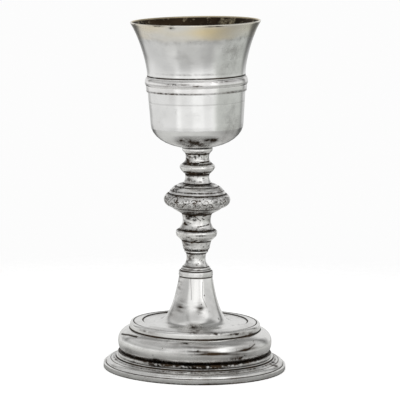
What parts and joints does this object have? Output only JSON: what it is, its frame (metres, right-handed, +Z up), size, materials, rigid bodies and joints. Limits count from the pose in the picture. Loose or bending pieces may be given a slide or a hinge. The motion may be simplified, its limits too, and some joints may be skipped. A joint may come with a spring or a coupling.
{
  "type": "chalice",
  "caption": "Silver chalice: a flared cup with a moulded band, gilt inside, on a turned stem with a chased knop and a stepped round foot.",
  "frame": {"origin": "middle of the foot's underside, on the table", "axes": "+Z up the stem, -Y towards the viewer of the picture, +X to the right"},
  "size_m": [0.126, 0.126, 0.2416],
  "materials": {
    "cup_silver": "old hand-polished silver, fine scratches, gilt inside and just over the lip",
    "band_silver": "bright drawn silver wire, tarnish in its lines",
    "stem_silver": "cast silver, pitted, dark tarnish in the hollows",
    "knop_silver": "cast and chased silver, darkened in the chasing",
    "foot_silver": "raised silver, soft polish, smudged tarnish and small dents",
    "flange_silver": "soldered silver mouldings, brown tarnish under the cushion"
  },
  "bodies": {
    "root": {"cup": "cup_silver", "cup_band": "band_silver", "upper_stem": "stem_silver", "knop": "knop_silver", "lower_stem": "stem_silver", "foot": "foot_silver", "foot_flange": "flange_silver"}
  },
  "joints": []
}
